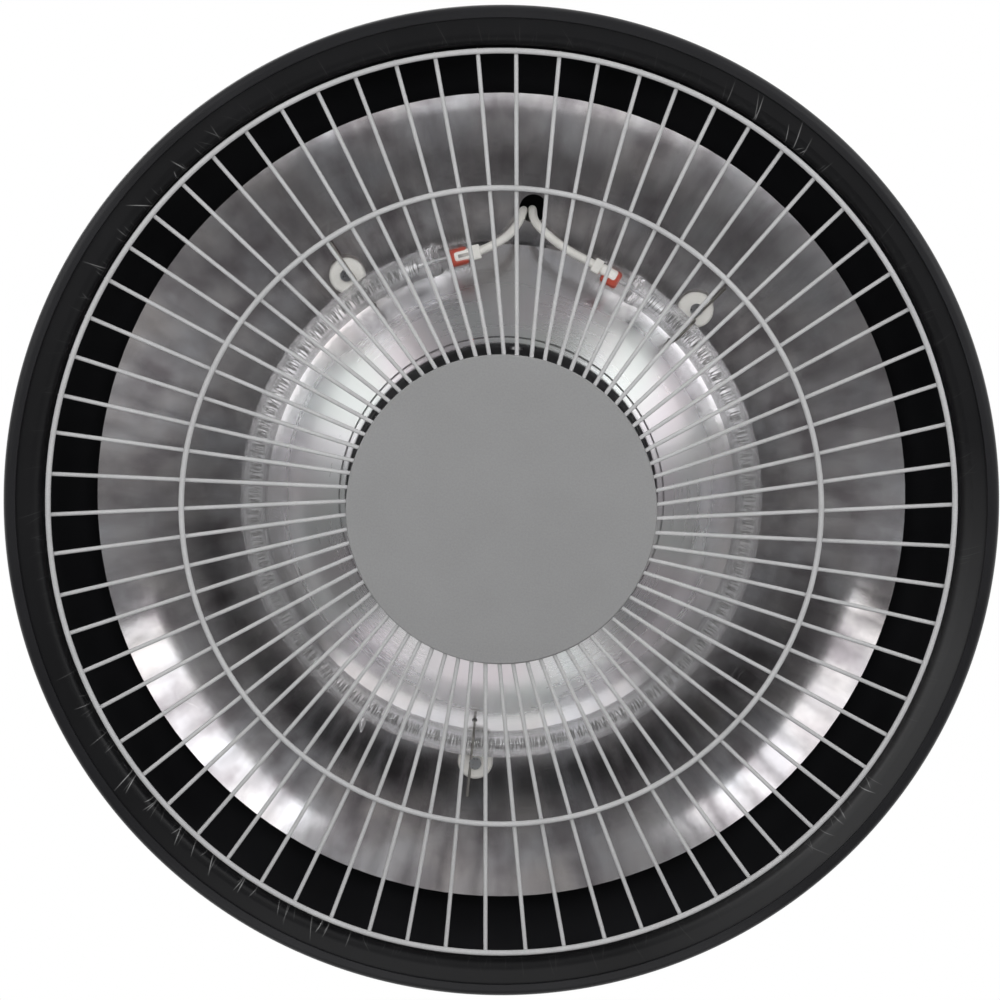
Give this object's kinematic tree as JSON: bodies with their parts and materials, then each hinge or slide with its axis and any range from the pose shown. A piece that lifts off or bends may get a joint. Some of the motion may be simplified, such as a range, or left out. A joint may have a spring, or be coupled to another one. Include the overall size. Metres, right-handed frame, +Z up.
{
  "type": "hanging infrared patio heater",
  "caption": "Round hanging infrared patio heater: black bell shade, annular reflector, ring-shaped quartz lamp and a grey spoked wire guard with a plain centre disc.",
  "frame": {"origin": "underside of the hanging ring's bow, where a hook carries the heater", "axes": "+Z up along the heater's axis, mouth facing -Z, lamp leads and switch at -Y, cable gland towards +X"},
  "size_m": [0.425, 0.425, 0.2666],
  "materials": {
    "black_coat": "satin black powder coat with fine scuffs",
    "grey_coat": "light grey powder coat",
    "reflector_aluminium": "bright-rolled, slightly hazy",
    "zinc_sheet": "zinc-coated sheet",
    "rivet_aluminium": "plain",
    "quartz": "clear fused quartz",
    "coil_alloy": "dark oxidised wire",
    "white_ceramic": "white steatite",
    "red_cement": "matt red-orange cement",
    "white_sleeve": "white silicone sleeve",
    "holder_wire": "bright spring wire",
    "zinc_steel": "bright zinc plate",
    "brass_clamp": "plain",
    "black_plastic": "moulded nylon",
    "rocker_plastic": "polished",
    "black_rubber": "matt"
  },
  "bodies": {
    "hanger": {"hanging_ring": "zinc_steel"},
    "rocker": {"switch_rocker": "rocker_plastic"},
    "heater": {"block_screw": "zinc_steel", "cable_gland": "black_plastic", "cap_seal": "black_rubber", "carrier_rivets": "rivet_aluminium", "centre_disc": "grey_coat", "centre_rod": "zinc_steel", "disc_weld_nut": "grey_coat", "end_cap_left": "white_ceramic", "end_cap_right": "white_ceramic", "end_cement_left": "red_cement", "end_cement_right": "red_cement", "eye_nut": "zinc_steel", "front_ring": "black_coat", "gland_bush": "black_rubber", "gland_locknut": "black_plastic", "gland_nut": "black_plastic", "grille_inner_ring": "grey_coat", "grille_mid_ring": "grey_coat", "grille_outer_ring": "grey_coat", "grille_spokes": "grey_coat", "heating_coil": "coil_alloy", "insulator_nuts": "zinc_steel", "insulator_screws": "zinc_steel", "lamp_lead_left": "white_sleeve", "lamp_lead_right": "white_sleeve", "lead_in_left": "coil_alloy", "lead_in_right": "coil_alloy", "neck_housing": "black_coat", "neck_screws": "zinc_steel", "quartz_tube": "quartz", "reflector": "reflector_aluminium", "reflector_carrier": "zinc_sheet", "rod_nuts": "zinc_steel", "rod_washers": "zinc_steel", "shade": "black_coat", "switch_frame": "black_plastic", "terminal_block": "white_ceramic", "terminal_screws": "brass_clamp", "top_cap": "black_coat", "tube_clip_left": "holder_wire", "tube_clip_rear": "holder_wire", "tube_clip_right": "holder_wire", "tube_insulator_left": "white_ceramic", "tube_insulator_rear": "white_ceramic", "tube_insulator_right": "white_ceramic"}
  },
  "joints": [
    {"name": "hanger_swing", "type": "hinge", "parent": "hanger", "child": "heater", "pos_m": [0, 0, -0.034], "axis": [1, 0, 0], "range_deg": [-90, 90]},
    {"name": "rocker_tilt", "type": "hinge", "parent": "heater", "child": "rocker", "pos_m": [0, -0.053, -0.0988], "axis": [-1, 0, 0], "range_deg": [0, 18]}
  ]
}
